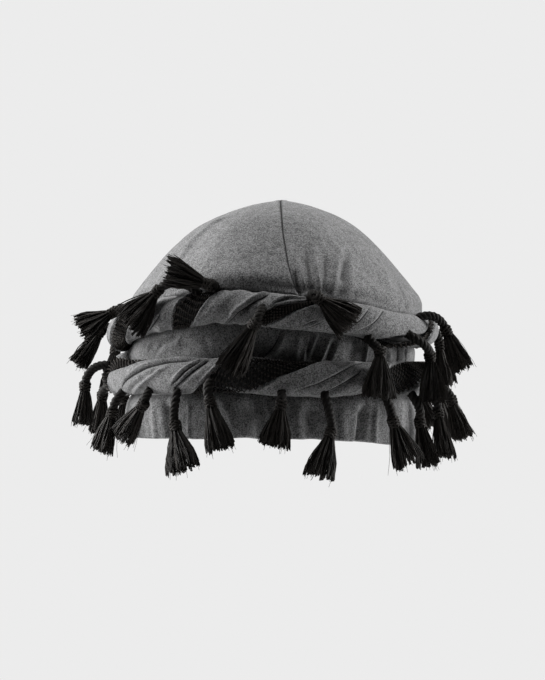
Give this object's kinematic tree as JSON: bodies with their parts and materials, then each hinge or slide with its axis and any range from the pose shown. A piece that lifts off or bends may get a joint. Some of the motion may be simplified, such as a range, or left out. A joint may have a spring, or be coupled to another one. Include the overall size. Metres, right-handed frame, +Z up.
{
  "type": "tasselled turban hat",
  "caption": "Soft jersey turban hat with a pointed crown, two twisted rolls round the head, a black braid trim and black thread tassels.",
  "frame": {"origin": "middle of the head opening, level with the front of the hem, where the hat sits on a head", "axes": "+Z up to the tip of the crown, -Y to the front of the hat, +X to the wearer's left"},
  "size_m": [0.2345, 0.2605, 0.1595],
  "materials": {
    "jersey": "matt heather grey jersey",
    "braid": "matt black crocheted braid",
    "thread": "soft black thread with a faint sheen"
  },
  "bodies": {
    "root": {"cap": "jersey", "wrap_band": "jersey", "upper_roll": "jersey", "lower_roll": "jersey", "upper_trim": "braid", "lower_trim": "braid", "tassel_01": "thread", "tassel_02": "thread", "tassel_03": "thread", "tassel_04": "thread", "tassel_05": "thread", "tassel_06": "thread", "tassel_07": "thread", "tassel_08": "thread", "tassel_09": "thread", "tassel_10": "thread", "tassel_11": "thread", "tassel_12": "thread", "tassel_13": "thread", "tassel_14": "thread", "tassel_15": "thread", "tassel_16": "thread", "tassel_17": "thread", "tassel_18": "thread", "tassel_19": "thread", "tassel_20": "thread", "tassel_21": "thread", "tassel_22": "thread", "tassel_23": "thread", "tassel_24": "thread", "tassel_25": "thread", "tassel_26": "thread", "tassel_27": "thread", "tassel_28": "thread", "tassel_29": "thread", "tassel_30": "thread", "tassel_31": "thread", "tassel_32": "thread", "tassel_33": "thread", "tassel_34": "thread"}
  },
  "joints": []
}
